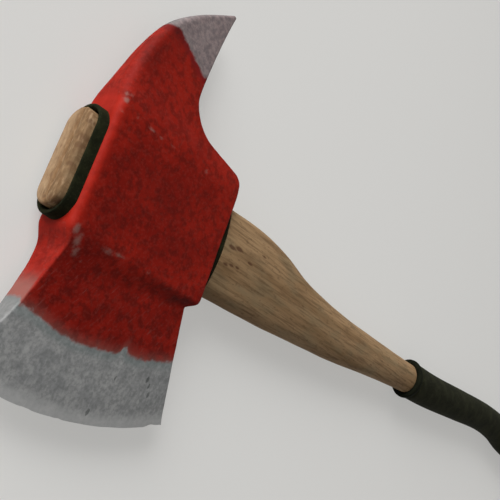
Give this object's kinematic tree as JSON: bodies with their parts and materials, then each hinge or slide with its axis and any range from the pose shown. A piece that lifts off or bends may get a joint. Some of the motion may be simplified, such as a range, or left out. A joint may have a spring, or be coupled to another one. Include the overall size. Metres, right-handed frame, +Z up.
{
  "type": "fire axe",
  "caption": "Pick-head fire axe with a flared bit, a hooked pick, a curved wooden haft set in a rubber-lined eye, and a rubber grip sleeve",
  "frame": {"origin": "On the lower cheek of the head, under the middle of the eye, with the axe lying on its side", "axes": "+X runs along the haft towards the top of the head, +Y from the eye towards the cutting edge, +Z up, square to the cheeks"},
  "size_m": [0.9255, 0.2957, 0.034],
  "materials": {
    "axe_head": "worn matt red paint over forged steel, bare along the cutting edge and the pick's tip",
    "eye_sleeve": "matt black rubber",
    "haft": "pale, worn straight-grained hardwood",
    "haft_wedge": "dry hardwood, a little darker than the haft",
    "grip_sleeve": "matt black rubber, faintly mottled by use"
  },
  "bodies": {
    "root": {"axe_head": "axe_head", "eye_sleeve": "eye_sleeve", "haft": "haft", "haft_wedge": "haft_wedge", "grip_sleeve": "grip_sleeve"}
  },
  "joints": []
}
